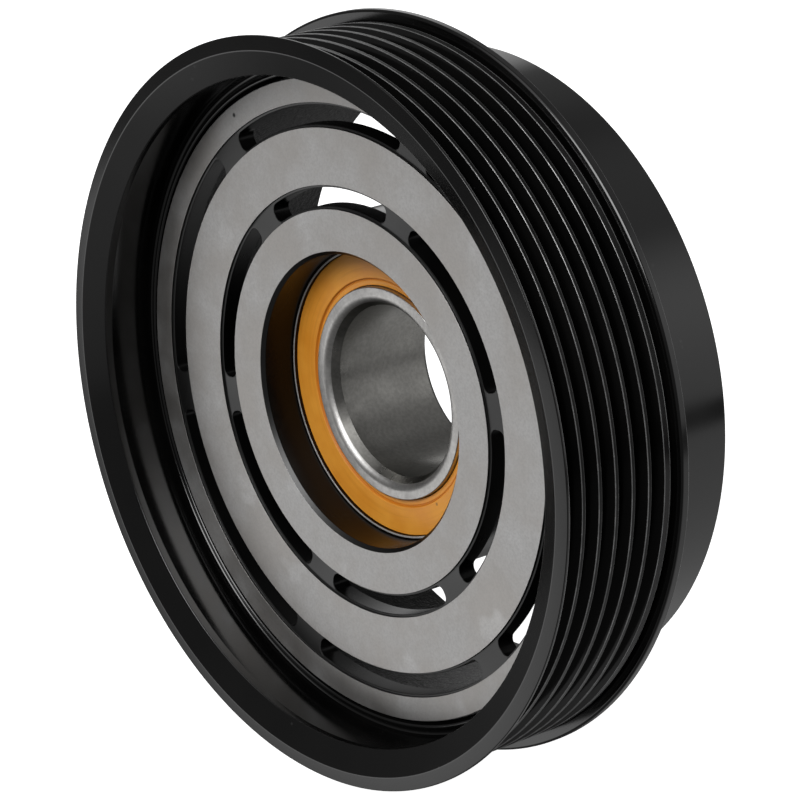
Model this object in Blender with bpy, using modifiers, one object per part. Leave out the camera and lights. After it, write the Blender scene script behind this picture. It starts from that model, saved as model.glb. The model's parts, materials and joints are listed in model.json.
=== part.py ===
"""Pulley-rotor of an air-conditioning compressor's electromagnetic clutch, with its bearing.

The row frame: the origin is the middle of the bearing's bore, +Y points along the axis to the
rear (the compressor's side), -Y to the friction face and +Z is up. Units are metres.
"""

from math import acos, cos, degrees, pi, radians, sin, tan

import bmesh
import bpy
from mathutils import Matrix, Vector

MM = 0.001
STEPS = 40                      # facets round every turned piece
GAP = 0.1 * MM                  # clearance left between pieces that are pressed together
EDGE = 0.3 * MM                 # chamfer on turned edges
SHARP_ANGLE = radians(30.0)     # edges sharper than this stay crisp

# Places along the axis, counted from the middle of the bearing.
FRONT_Y = -28.8 * MM            # outer corner of the pulley's front rim
FRICTION_Y = -17.6 * MM         # friction face
PLATE_BACK_Y = -13.95 * MM      # rear side of the friction disc
FLANGE_Y = -3.4 * MM            # crest of the pulley's rear flange
RIM_BACK_Y = -2.2 * MM          # rear face of the pulley ring
INNER_TUBE_END_Y = 13.9 * MM
OUTER_TUBE_END_Y = 14.5 * MM

# Pulley ring.
RIM_R = 64.5 * MM
FRONT_BEVEL_R = 62.0 * MM       # where the front rim's bevel starts
RIM_CREST_RISE = 0.4 * MM       # the bevel's edge stands this far ahead of the outer corner
FRONT_MOUTH_R = 57.6 * MM       # inner edge of the front rim
MOUTH_DEPTH = 1.45 * MM         # that edge lies this far behind the outer corner
RIM_EDGE_WIDTH = 0.45 * MM      # plain outer edge of the front rim
RECESS_R = 58.4 * MM            # recess wall at its bottom
LIP_R = 56.6 * MM               # rounded lip beside the friction disc
LIP_ROUND = 0.5 * MM
RIB_COUNT = 6
RIB_PITCH = 3.56 * MM
RIB_CREST_R = 62.6 * MM
RIB_DEPTH = 2.7 * MM
RIB_ANGLE = radians(40.0)       # included angle of a groove
RIB_TOP = 2.86 * MM             # groove's width at the crests
FIRST_GROOVE_Y = FRONT_Y + 3.41 * MM
LAST_RIB_END_Y = FLANGE_Y - 1.45 * MM
RELIEF_R = 61.7 * MM            # narrow relief between the last rib and the rear flange
RELIEF_WIDTH = 0.4 * MM

# Rotor.
ROTOR_R = 55.5 * MM
OUTER_TUBE_BORE = 51.7 * MM
INNER_TUBE_R = 31.2 * MM
OUTER_CORNER = 1.0 * MM         # rounded corners at the bottom of the coil's cavity
INNER_CORNER = 2.4 * MM
GROOVE_DEPTH = 0.4 * MM
RINGS = (                       # annular grooves: inner and outer radius, bridge width
    (33.2 * MM, 37.3 * MM, 6.2 * MM),
    (47.05 * MM, 51.3 * MM, 7.0 * MM),
)
LEDGE = 0.45 * MM               # groove floor left on each side of a slot
SLOT_COUNT = 6
BRIDGE_ANGLE = radians(13.5)    # first bridge, up from +X
SLOT_CORNER = 1.35 * MM
HUB_WALL_R = 25.4 * MM          # front shoulder that the bearing is pushed up against
HUB_CHAMFER = 0.6 * MM
ROLLED_DEPTH = 1.1 * MM         # edge rolled in behind the bearing

# Bearing: 30 mm bore, 52 mm outside, 22 mm wide, two rows of balls.
BORE_R = 15.0 * MM
BEARING_R = 26.0 * MM
BEARING_HALF = 11.0 * MM
PITCH_R = 21.0 * MM
ROW_Y = 4.6 * MM
BALL_R = 2.75 * MM
BALL_COUNT = 14
RACE_GAP = 0.2 * MM             # between a ball and the races
FACE_INNER_R = 17.2 * MM        # inner edge of the inner ring's flat front face
LEAD_ROUND = 1.6 * MM           # rounding between that face and the lead-in cone
LEAD_ANGLE = radians(31.0)      # lead-in cone of the bore, measured from the axis
REAR_ROUND = 1.2 * MM           # rounding at the rear end of the bore
INNER_SHOULDER_R = 18.5 * MM    # inner ring beside the seals
INNER_LAND_R = 19.6 * MM        # inner ring between the rows
OUTER_LAND_R = 22.4 * MM        # outer ring between the rows
OUTER_SHOULDER_R = 22.9 * MM
SEAL_SEAT_R = 24.85 * MM
SEAL_SEAT_Y = 8.8 * MM
SEAL_FACE_Y = 10.45 * MM
SEAL_STEP_R = (19.95 * MM, 19.5 * MM)   # slanted step from the seal's face down to its lip
LIP_FACE_Y = 10.15 * MM
CORE_Y = 9.6 * MM               # outer side of a seal's steel insert
CORE_THICKNESS = 0.4 * MM
CORE_BORE_R = 20.3 * MM
LIP_GAP = 0.3 * MM              # between a seal's lip and the inner ring
CAGE_R = (20.1 * MM, 21.9 * MM)
CAGE_Y = (4.0 * MM, 8.3 * MM)
POCKET_GAP = 0.2 * MM
POCKET_SIDES = 12


def clear_scene():
    for item in list(bpy.data.objects):
        bpy.data.objects.remove(item, do_unlink=True)


def new_collection(name):
    group = bpy.data.collections.new(name)
    bpy.context.scene.collection.children.link(group)
    return group


def material(name, color, roughness, metallic):
    made = bpy.data.materials.new(name)
    made.use_nodes = True
    shader = made.node_tree.nodes["Principled BSDF"]
    shader.inputs["Base Color"].default_value = (*color, 1.0)
    shader.inputs["Roughness"].default_value = roughness
    shader.inputs["Metallic"].default_value = metallic
    return made


def turned(name, profile, group, surface=None):
    """Turn a closed outline of (radius, y) points round the Y axis.

    The outline runs from front to rear on its outer side and comes back on its inner side. The
    object is tipped over so that the Screw modifier's Z axis points to the front, along -Y.
    """
    mesh = bpy.data.meshes.new(name)
    points = [(radius, 0.0, -y) for radius, y in profile]
    edges = [(i, (i + 1) % len(points)) for i in range(len(points))]
    mesh.from_pydata(points, edges, [])
    piece = bpy.data.objects.new(name, mesh)
    piece.rotation_euler = (pi / 2, 0.0, 0.0)
    group.objects.link(piece)
    screw = piece.modifiers.new("Turn", "SCREW")
    screw.axis = "Z"
    screw.angle = 2 * pi
    screw.steps = STEPS
    screw.render_steps = STEPS
    screw.use_merge_vertices = True
    screw.merge_threshold = 0.00001
    screw.use_smooth_shade = True
    if surface:
        mesh.materials.append(surface)
    return piece


def arc(centre_r, centre_y, radius, start, stop, pieces):
    """Arc of (radius, y) points; 0 degrees points outward and 90 degrees to the rear."""
    points = []
    for step in range(pieces + 1):
        angle = radians(start + (stop - start) * step / pieces)
        points.append((centre_r + radius * cos(angle), centre_y + radius * sin(angle)))
    return points


def bake_modifiers(piece):
    """Replace a piece's mesh with its evaluated one, and shade its round faces smooth."""
    bpy.context.view_layer.update()
    graph = bpy.context.evaluated_depsgraph_get()
    baked = bpy.data.meshes.new_from_object(piece.evaluated_get(graph))
    piece.modifiers.clear()
    piece.data = baked
    baked.shade_smooth()
    baked.set_sharp_from_angle(angle=SHARP_ANGLE)


def cut(piece, cutter):
    knife = piece.modifiers.new("Cut " + cutter.name, "BOOLEAN")
    knife.operation = "DIFFERENCE"
    knife.solver = "EXACT"
    knife.object = cutter


def as_cutter(piece):
    piece.hide_render = True
    piece.display_type = "WIRE"


def mirrored(profile):
    """The same outline on the other side of the bearing's middle, in the same running order."""
    return [(radius, -y) for radius, y in reversed(profile)]


# ---------------------------------------------------------------------------------------------
# Pulley ring


def groove_outline():
    """The V grooves of a ribbed belt, front to rear."""
    half_top = RIB_TOP / 2
    half_floor = half_top - RIB_DEPTH * tan(RIB_ANGLE / 2)
    floor_r = RIB_CREST_R - RIB_DEPTH
    points = []
    for index in range(RIB_COUNT):
        middle = FIRST_GROOVE_Y + index * RIB_PITCH
        points += [
            (RIB_CREST_R, middle - half_top),
            (floor_r, middle - half_floor),
            (floor_r, middle + half_floor),
            (RIB_CREST_R, middle + half_top),
        ]
    return points


def make_pulley_rim(group, surface):
    seat_r = ROTOR_R + 2 * GAP
    relief_end_y = LAST_RIB_END_Y + 2 * RELIEF_WIDTH
    floor_round = (RECESS_R - LIP_R - LIP_ROUND) / 2
    front = [
        (FRONT_BEVEL_R, FRONT_Y - RIM_CREST_RISE),
        (RIM_R - EDGE / 2, FRONT_Y),
        (RIM_R, FRONT_Y + EDGE / 2),
        (RIM_R, FRONT_Y + RIM_EDGE_WIDTH),
    ]
    grooves = groove_outline()
    rear = [
        (RIB_CREST_R, LAST_RIB_END_Y),
        (RELIEF_R, LAST_RIB_END_Y + RELIEF_WIDTH),
        (RELIEF_R, relief_end_y),
        (RIM_R - EDGE / 2, FLANGE_Y - EDGE / 2),
        (RIM_R, FLANGE_Y + EDGE / 2),
        (RIM_R, FLANGE_Y + 2 * EDGE),
        (RIM_R - 2 * EDGE, RIM_BACK_Y),
        (seat_r + EDGE, RIM_BACK_Y),
        (seat_r, RIM_BACK_Y - EDGE),
        (seat_r, FRICTION_Y + 2 * LIP_ROUND),
    ]
    lip_y = FRICTION_Y + LIP_ROUND
    lip = arc(LIP_R, lip_y, LIP_ROUND, 180.0, 360.0, 4)
    floor = arc(RECESS_R - floor_round, lip_y, floor_round, 180.0, 0.0, 4)[1:]
    mouth = [
        (RECESS_R, FRICTION_Y - 2 * LIP_ROUND),
        (FRONT_MOUTH_R + EDGE, FRONT_Y + MOUTH_DEPTH + 5 * EDGE),
        (FRONT_MOUTH_R, FRONT_Y + MOUTH_DEPTH),
    ]
    outline = front + grooves + rear + lip + floor + mouth
    rim = turned("pulley_rim", outline, group, surface)
    bake_modifiers(rim)
    return rim


# ---------------------------------------------------------------------------------------------
# Rotor


def rotor_outline():
    seat_r = BEARING_R + GAP
    rolled_r = BEARING_R - ROLLED_DEPTH
    seat_end_y = BEARING_HALF + 2 * GAP
    floor_y = FRICTION_Y + GROOVE_DEPTH
    face = [(HUB_WALL_R + HUB_CHAMFER, FRICTION_Y)]
    for inner, outer, _bridge in RINGS:
        face += [
            (inner, FRICTION_Y),
            (inner, floor_y),
            (outer, floor_y),
            (outer, FRICTION_Y),
        ]
    outside = [
        (ROTOR_R - EDGE, FRICTION_Y),
        (ROTOR_R, FRICTION_Y + EDGE),
        (ROTOR_R, OUTER_TUBE_END_Y - EDGE),
        (ROTOR_R - EDGE, OUTER_TUBE_END_Y),
        (OUTER_TUBE_BORE + EDGE, OUTER_TUBE_END_Y),
        (OUTER_TUBE_BORE, OUTER_TUBE_END_Y - EDGE),
    ]
    cavity = arc(
        OUTER_TUBE_BORE - OUTER_CORNER, PLATE_BACK_Y + OUTER_CORNER, OUTER_CORNER, 0.0, -90.0, 2
    )
    cavity += arc(
        INNER_TUBE_R + INNER_CORNER, PLATE_BACK_Y + INNER_CORNER, INNER_CORNER, -90.0, -180.0, 3
    )
    hub = [
        (INNER_TUBE_R, INNER_TUBE_END_Y - EDGE),
        (INNER_TUBE_R - EDGE, INNER_TUBE_END_Y),
        (rolled_r + EDGE, INNER_TUBE_END_Y),
        (rolled_r, INNER_TUBE_END_Y - EDGE),
        (rolled_r, seat_end_y),
        (seat_r, seat_end_y),
        (seat_r, -seat_end_y),
        (HUB_WALL_R, -seat_end_y),
        (HUB_WALL_R, FRICTION_Y + HUB_CHAMFER),
    ]
    return face + outside + cavity + hub


def slot_outline(inner, outer, start, end):
    """Corners of one arc-shaped slot with rounded ends, as (x, z) points."""
    corner_steps = 3
    arc_steps = 7
    corner_sweep = SLOT_CORNER / ((inner + outer) / 2)
    low = start + corner_sweep
    high = end - corner_sweep

    def corner(centre_r, centre_angle, quadrant):
        points = []
        for step in range(corner_steps + 1):
            turn = (quadrant + step / corner_steps) * pi / 2
            radius = centre_r + SLOT_CORNER * cos(turn)
            points.append((radius, centre_angle + SLOT_CORNER * sin(turn) / centre_r))
        return points

    def side(radius, first, last):
        span = last - first
        return [(radius, first + span * step / arc_steps) for step in range(1, arc_steps)]

    polar = corner(outer - SLOT_CORNER, high, 0)
    polar += corner(inner + SLOT_CORNER, high, 1)
    polar += side(inner, high, low)
    polar += corner(inner + SLOT_CORNER, low, 2)
    polar += corner(outer - SLOT_CORNER, low, 3)
    polar += side(outer, low, high)
    return [(radius * cos(angle), radius * sin(angle)) for radius, angle in polar]


def make_slot_cutters(group):
    """One cutter with every slot in it, each slot a closed prism along Y."""
    form = bmesh.new()
    overshoot = 2.0 * MM
    front_y = FRICTION_Y - overshoot
    back_y = PLATE_BACK_Y + overshoot
    pitch = 2 * pi / SLOT_COUNT
    for inner, outer, bridge in RINGS:
        half_bridge = bridge / 2 / ((inner + outer) / 2)
        for index in range(SLOT_COUNT):
            start = BRIDGE_ANGLE + index * pitch + half_bridge
            end = BRIDGE_ANGLE + (index + 1) * pitch - half_bridge
            outline = slot_outline(inner + LEDGE, outer - LEDGE, start, end)
            corners = [form.verts.new((x, front_y, z)) for x, z in outline]
            face = form.faces.new(corners)
            moved = bmesh.ops.extrude_face_region(form, geom=[face])["geom"]
            fresh = [item for item in moved if isinstance(item, bmesh.types.BMVert)]
            bmesh.ops.translate(form, verts=fresh, vec=(0.0, back_y - front_y, 0.0))
    bmesh.ops.recalc_face_normals(form, faces=form.faces)
    mesh = bpy.data.meshes.new("slot_cutter")
    form.to_mesh(mesh)
    form.free()
    cutter = bpy.data.objects.new("slot_cutter", mesh)
    group.objects.link(cutter)
    as_cutter(cutter)
    return cutter


def make_rotor(group, cutters, surface):
    rotor = turned("rotor", rotor_outline(), group, surface)
    cut(rotor, make_slot_cutters(cutters))
    bake_modifiers(rotor)
    return rotor


# ---------------------------------------------------------------------------------------------
# Bearing


def race_arc(from_r, to_r, outer):
    """A race of the row at +ROW_Y, from the shoulder at from_r to the land at to_r."""
    race_r = BALL_R + RACE_GAP
    start = degrees(acos((from_r - PITCH_R) / race_r))
    stop = degrees(acos((to_r - PITCH_R) / race_r))
    if outer:
        stop = -stop
    else:
        stop = 360.0 - stop
    return arc(PITCH_R, ROW_Y, race_r, start, stop, 4)


def make_outer_ring(group, surface):
    half = [
        (BEARING_R, BEARING_HALF - EDGE),
        (BEARING_R - EDGE, BEARING_HALF),
        (SEAL_SEAT_R, BEARING_HALF),
        (SEAL_SEAT_R, SEAL_SEAT_Y),
        (OUTER_SHOULDER_R, SEAL_SEAT_Y),
    ]
    half += race_arc(OUTER_SHOULDER_R, OUTER_LAND_R, True)
    ring = turned("bearing_outer_ring", half + mirrored(half), group, surface)
    bake_modifiers(ring)
    return ring


def make_inner_ring(group, surface):
    race = race_arc(INNER_SHOULDER_R, INNER_LAND_R, False)[::-1]
    rear = race + [
        (INNER_SHOULDER_R, BEARING_HALF - EDGE),
        (INNER_SHOULDER_R - EDGE, BEARING_HALF),
    ]
    rear += arc(BORE_R + REAR_ROUND, BEARING_HALF - REAR_ROUND, REAR_ROUND, 90.0, 180.0, 3)
    round_y = LEAD_ROUND - BEARING_HALF
    cone_start_r = FACE_INNER_R - LEAD_ROUND * cos(LEAD_ANGLE)
    cone_start_y = round_y - LEAD_ROUND * sin(LEAD_ANGLE)
    cone_end_y = cone_start_y + (cone_start_r - BORE_R) / tan(LEAD_ANGLE)
    front = [(BORE_R, cone_end_y)]
    front += arc(FACE_INNER_R, round_y, LEAD_ROUND, 180.0 + degrees(LEAD_ANGLE), 270.0, 3)
    front += [
        (INNER_SHOULDER_R - EDGE, -BEARING_HALF),
        (INNER_SHOULDER_R, EDGE - BEARING_HALF),
    ]
    front += mirrored(race)
    ring = turned("bearing_inner_ring", front + rear, group, surface)
    bake_modifiers(ring)
    return ring


def make_seal(name, side, group, surface):
    """Rubber ring with a lip on the inner ring; side is -1 at the front and 1 at the rear."""
    outer_r = SEAL_SEAT_R - 2 * GAP
    lip_r = INNER_SHOULDER_R + LIP_GAP
    face_end_r, lip_start_r = SEAL_STEP_R
    back_y = CORE_Y + GAP
    lip_back_y = back_y - CORE_THICKNESS
    rear = [
        (outer_r, back_y),
        (outer_r, SEAL_FACE_Y - EDGE),
        (outer_r - EDGE, SEAL_FACE_Y),
        (face_end_r, SEAL_FACE_Y),
        (lip_start_r, LIP_FACE_Y),
        (lip_r + EDGE, LIP_FACE_Y),
        (lip_r, LIP_FACE_Y - EDGE),
        (lip_r, lip_back_y),
        (face_end_r, lip_back_y),
        (face_end_r + EDGE / 2, back_y),
    ]
    outline = rear if side > 0 else mirrored(rear)
    seal = turned(name, outline, group, surface)
    bake_modifiers(seal)
    return seal


def make_seal_core(name, side, group, surface):
    outer_r = SEAL_SEAT_R - 4 * GAP
    rear = [
        (outer_r, CORE_Y - CORE_THICKNESS),
        (outer_r, CORE_Y),
        (CORE_BORE_R, CORE_Y),
        (CORE_BORE_R, CORE_Y - CORE_THICKNESS),
    ]
    outline = rear if side > 0 else mirrored(rear)
    core = turned(name, outline, group, surface)
    bake_modifiers(core)
    return core


def ball_angles(side):
    """Places of one row's balls; the rear row stands half a pitch round from the front one."""
    offset = 0.0 if side < 0 else pi / BALL_COUNT
    return [offset + 2 * pi * index / BALL_COUNT for index in range(BALL_COUNT)]


def make_pocket_cutters(name, side, group):
    """Radial cylinders, one at each ball, in one cutter."""
    form = bmesh.new()
    for angle in ball_angles(side):
        place = Vector((PITCH_R * cos(angle), side * ROW_Y, PITCH_R * sin(angle)))
        outward = Vector((cos(angle), 0.0, sin(angle)))
        turn = Vector((0.0, 0.0, 1.0)).rotation_difference(outward).to_matrix().to_4x4()
        bmesh.ops.create_cone(
            form,
            cap_ends=True,
            segments=POCKET_SIDES,
            radius1=BALL_R + POCKET_GAP,
            radius2=BALL_R + POCKET_GAP,
            depth=2 * BALL_R,
            matrix=Matrix.Translation(place) @ turn,
        )
    mesh = bpy.data.meshes.new(name)
    form.to_mesh(mesh)
    form.free()
    cutter = bpy.data.objects.new(name, mesh)
    group.objects.link(cutter)
    as_cutter(cutter)
    return cutter


def make_cage(name, side, group, cutters, surface):
    """Crown cage: a ring outboard of the balls with fingers between them."""
    inner_r, outer_r = CAGE_R
    low_y, high_y = CAGE_Y
    rear = [
        (outer_r, low_y),
        (outer_r, high_y),
        (inner_r, high_y),
        (inner_r, low_y),
    ]
    outline = rear if side > 0 else mirrored(rear)
    cage = turned(name, outline, group, surface)
    cut(cage, make_pocket_cutters(name + "_pockets", side, cutters))
    bake_modifiers(cage)
    return cage


def make_balls(label, side, carrier, group, surface):
    """One row of balls, each its own object under the empty that carries the row."""
    form = bmesh.new()
    bmesh.ops.create_icosphere(form, subdivisions=2, radius=BALL_R)
    mesh = bpy.data.meshes.new("ball_" + label)
    form.to_mesh(mesh)
    form.free()
    mesh.shade_smooth()
    mesh.materials.append(surface)
    for index, angle in enumerate(ball_angles(side)):
        ball = bpy.data.objects.new("ball_%s_%02d" % (label, index + 1), mesh)
        ball.location = (PITCH_R * cos(angle), side * ROW_Y, PITCH_R * sin(angle))
        ball.parent = carrier
        group.objects.link(ball)


def make_axis(name, group):
    """An empty on the bearing's axis, which the turning pieces hang from."""
    axis = bpy.data.objects.new(name, None)
    group.objects.link(axis)
    return axis


def main():
    clear_scene()
    parts = new_collection("clutch_pulley_rotor")
    cutters = new_collection("cutters")

    paint = material("rim_black_paint", (0.02, 0.02, 0.021), 0.3, 0.0)
    ground = material("rotor_steel", (0.36, 0.35, 0.34), 0.42, 1.0)
    ring_steel = material("bearing_steel", (0.55, 0.54, 0.53), 0.25, 1.0)
    rubber = material("seal_rubber", (0.58, 0.26, 0.04), 0.5, 0.0)
    sheet_steel = material("seal_insert_steel", (0.45, 0.45, 0.45), 0.35, 1.0)
    nylon = material("cage_nylon", (0.72, 0.66, 0.5), 0.5, 0.0)
    ball_steel = material("ball_steel", (0.7, 0.7, 0.7), 0.08, 1.0)

    make_inner_ring(parts, ring_steel)

    pulley_axis = make_axis("pulley_axis", parts)
    turning = [
        make_pulley_rim(parts, paint),
        make_rotor(parts, cutters, ground),
        make_outer_ring(parts, ring_steel),
        make_seal("seal_front", -1, parts, rubber),
        make_seal("seal_rear", 1, parts, rubber),
        make_seal_core("seal_core_front", -1, parts, sheet_steel),
        make_seal_core("seal_core_rear", 1, parts, sheet_steel),
    ]
    for piece in turning:
        piece.parent = pulley_axis

    for label, side in (("front", -1), ("rear", 1)):
        carrier = make_axis("cage_%s_axis" % label, parts)
        cage = make_cage("cage_" + label, side, parts, cutters, nylon)
        cage.parent = carrier
        make_balls(label, side, carrier, parts, ball_steel)


main()
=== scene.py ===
"""Looks of the clutch pulley: fine turned surfaces, paint, bare steel, rubber, light and camera."""

import json
from math import acos, cos, degrees, hypot, pi, radians, sin, tan

import bmesh
import bpy
from mathutils import Euler, Matrix, Vector


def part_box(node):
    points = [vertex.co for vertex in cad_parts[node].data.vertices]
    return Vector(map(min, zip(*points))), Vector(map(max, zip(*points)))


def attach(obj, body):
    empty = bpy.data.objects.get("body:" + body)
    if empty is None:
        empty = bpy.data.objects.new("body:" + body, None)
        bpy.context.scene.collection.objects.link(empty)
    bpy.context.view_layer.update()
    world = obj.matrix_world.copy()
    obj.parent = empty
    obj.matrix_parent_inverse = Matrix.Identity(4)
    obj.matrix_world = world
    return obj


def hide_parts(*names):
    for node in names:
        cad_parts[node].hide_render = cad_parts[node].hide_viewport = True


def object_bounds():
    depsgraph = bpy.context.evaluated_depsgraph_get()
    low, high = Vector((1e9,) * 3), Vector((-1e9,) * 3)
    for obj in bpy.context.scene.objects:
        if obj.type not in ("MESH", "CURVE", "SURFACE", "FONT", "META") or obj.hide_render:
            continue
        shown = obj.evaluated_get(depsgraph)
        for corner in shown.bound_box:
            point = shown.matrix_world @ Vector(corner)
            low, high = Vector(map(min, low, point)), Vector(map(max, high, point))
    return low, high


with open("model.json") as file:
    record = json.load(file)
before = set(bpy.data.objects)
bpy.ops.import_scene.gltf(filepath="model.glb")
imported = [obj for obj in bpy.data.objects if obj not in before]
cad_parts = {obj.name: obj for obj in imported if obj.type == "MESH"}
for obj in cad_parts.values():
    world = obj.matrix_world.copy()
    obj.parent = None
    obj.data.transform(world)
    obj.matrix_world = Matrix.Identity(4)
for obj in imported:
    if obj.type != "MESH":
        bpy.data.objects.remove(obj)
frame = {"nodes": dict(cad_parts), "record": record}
cad_low, cad_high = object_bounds()

MM = 0.001
STEPS = 240                     # facets round a turned piece
SHARP_ANGLE = radians(35.0)
STRAIGHT_ANGLE = radians(178.0) # corners flatter than this aren't rounded

# ---------------------------------------------------------------------------------------------
# Sizes from the frame


def radii(node):
    """Smallest and largest distance of a CAD node's points from the Y axis."""
    found = [hypot(point.co.x, point.co.z) for point in frame["nodes"][node].data.vertices]
    return min(found), max(found)


rim_low, rim_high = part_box("pulley_rim")
rotor_low, rotor_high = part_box("rotor")
ring_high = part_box("bearing_outer_ring")[1]
seal_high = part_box("seal_rear")[1]
core_low, core_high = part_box("seal_core_rear")
cage_low, cage_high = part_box("cage_rear")
ball_low, ball_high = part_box("ball_rear_01")

RIM_R = rim_high.x
RIM_FRONT_Y = rim_low.y         # foremost circle of the front rim
RIM_BACK_Y = rim_high.y
SEAT_R = radii("pulley_rim")[0]
FRICTION_Y = rotor_low.y
TUBE_END_Y = rotor_high.y
ROTOR_R = rotor_high.x
ROLLED_EDGE_R = radii("rotor")[0]
BEARING_R = ring_high.x
BEARING_HALF = ring_high.y
BORE_R, INNER_LAND_R = radii("bearing_inner_ring")
OUTER_LAND_R = radii("bearing_outer_ring")[0]
SEAL_R = radii("seal_rear")
SEAL_FACE_Y = seal_high.y
CORE_R = radii("seal_core_rear")
CAGE_R = radii("cage_rear")
BALL_R = (ball_high.y - ball_low.y) / 2
ROW_Y = (ball_high.y + ball_low.y) / 2
BALL_COUNT = len(frame["record"]["behaviour"]["bodies"]["cage_front"]) - 1

# ---------------------------------------------------------------------------------------------
# Sizes that only the looks need

# Pulley ring
BEVEL_R = RIM_R - 2.5 * MM
BEVEL_RISE = 0.4 * MM
MOUTH_R = RIM_R - 6.9 * MM
MOUTH_DROP = 1.85 * MM
RIM_EDGE_WIDTH = 0.45 * MM
RECESS_R = RIM_R - 6.1 * MM
LIP_R = RIM_R - 7.9 * MM
LIP_ROUND = 0.5 * MM
RIB_COUNT = 6
RIB_PITCH = 3.56 * MM
RIB_CREST_R = RIM_R - 1.9 * MM
RIB_DEPTH = 2.7 * MM
RIB_HALF_ANGLE = radians(20.0)
RIB_TOP = 2.86 * MM
FIRST_GROOVE_Y = RIM_FRONT_Y + 3.81 * MM
CREST_ROUND = 0.14 * MM
GROOVE_ROUND = 0.35 * MM
FLANGE_Y = RIM_BACK_Y - 1.2 * MM
LAST_RIB_Y = FIRST_GROOVE_Y + (RIB_COUNT - 1) * RIB_PITCH + RIB_TOP / 2
LAST_RIB_END_Y = FLANGE_Y - 1.45 * MM
RELIEF_R = RIB_CREST_R - 0.9 * MM       # narrow relief between the last rib and the rear flange
TOOL_MARKS = 5                          # fine ridges on the last rib's wide top
TOOL_MARK_DEPTH = 0.04 * MM
TOOL_MARK_ROUND = 0.03 * MM

# Rotor
HUB_WALL_R = 25.4 * MM
HUB_CHAMFER = 0.65 * MM
TUBE_BORE_R = 51.7 * MM
INNER_TUBE_R = 31.2 * MM
INNER_TUBE_END_Y = TUBE_END_Y - 0.6 * MM
PLATE_BACK_Y = FRICTION_Y + 3.65 * MM
GROOVE_DEPTH = 0.4 * MM
RINGS = (                       # annular grooves: inner and outer radius, width of a bridge
    (33.2 * MM, 37.3 * MM, 6.2 * MM),
    (47.05 * MM, 51.3 * MM, 7.0 * MM),
)
LEDGE = 0.45 * MM
SLOT_COUNT = 6
SLOT_CORNER = 1.35 * MM
SLOT_EDGE = 0.12 * MM
BRIDGE_ANGLE = radians(13.5)

# Bearing
PITCH_R = 21.0 * MM
RACE_R = BALL_R + 0.2 * MM
INNER_SHOULDER_R = 18.5 * MM
OUTER_SHOULDER_R = 22.9 * MM
SEAL_SEAT_R = 24.85 * MM
SEAL_SEAT_Y = 8.8 * MM
PAINTED_SHADE_FROM_R = 25.15 * MM            # the outer ring's face is painted dark beyond this radius, as painted shade beside the hub wall
SEAL_STEP_R = (19.95 * MM, 19.5 * MM)
LIP_FACE_Y = SEAL_FACE_Y - 0.3 * MM
FACE_INNER_R = 17.2 * MM        # inner edge of the inner ring's flat front face
LEAD_ROUND = 1.6 * MM
LEAD_ANGLE = radians(31.0)      # lead-in cone of the bore, measured from the axis
REAR_ROUND = 1.2 * MM           # rear end of the bore

# ---------------------------------------------------------------------------------------------
# Mesh tools


def arc(centre_r, centre_y, radius, start, stop, pieces):
    """Arc of (radius, y) points; 0 degrees points outward and 90 degrees to the rear."""
    points = []
    for step in range(pieces + 1):
        angle = radians(start + (stop - start) * step / pieces)
        points.append((centre_r + radius * cos(angle), centre_y + radius * sin(angle)))
    return points


def rounded(outline, radius, pieces=3):
    """Round every corner of a closed outline. A point may carry its own radius as a third value."""
    result = []
    count = len(outline)
    for index, point in enumerate(outline):
        here = Vector(point[:2])
        back = Vector(outline[index - 1][:2]) - here
        ahead = Vector(outline[(index + 1) % count][:2]) - here
        wanted = point[2] if len(point) > 2 else radius
        between = back.angle(ahead)
        if wanted <= 0.0 or between > STRAIGHT_ANGLE:
            result.append(here)
            continue
        reach = min(wanted / tan(between / 2), 0.49 * back.length, 0.49 * ahead.length)
        start = here + back.normalized() * reach
        end = here + ahead.normalized() * reach
        for step in range(pieces + 1):
            t = step / pieces
            result.append(start * (1 - t) ** 2 + here * 2 * t * (1 - t) + end * t ** 2)
    return [(point.x, point.y) for point in result]


def shade(piece):
    piece.data.shade_smooth()
    piece.data.set_sharp_from_angle(angle=SHARP_ANGLE)
    weighted = piece.modifiers.new("Even shading", "WEIGHTED_NORMAL")
    weighted.keep_sharp = True
    weighted.weight = 100


def turned(name, outline, material, steps=STEPS):
    """Turn a closed outline of (radius, y) points, outer side running front to rear."""
    form = bmesh.new()
    rings = []
    for step in range(steps):
        angle = 2 * pi * step / steps
        across, up = cos(angle), sin(angle)
        rings.append([form.verts.new((r * across, y, r * up)) for r, y in outline])
    for step in range(steps):
        ring, following = rings[step], rings[(step + 1) % steps]
        for index in range(len(outline)):
            after = (index + 1) % len(outline)
            form.faces.new((ring[index], ring[after], following[after], following[index]))
    bmesh.ops.recalc_face_normals(form, faces=form.faces)
    mesh = bpy.data.meshes.new(name)
    form.to_mesh(mesh)
    form.free()
    piece = bpy.data.objects.new(name, mesh)
    bpy.context.scene.collection.objects.link(piece)
    mesh.materials.append(material)
    return piece


def mirrored(outline):
    """The outline on the other side of the bearing's middle, in the same running order."""
    return [(point[0], -point[1], *point[2:]) for point in reversed(outline)]


def finish_piece(piece, body, slot, *nodes):
    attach(piece, body)
    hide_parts(*nodes)
    return piece


# ---------------------------------------------------------------------------------------------
# Shader tools


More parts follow.
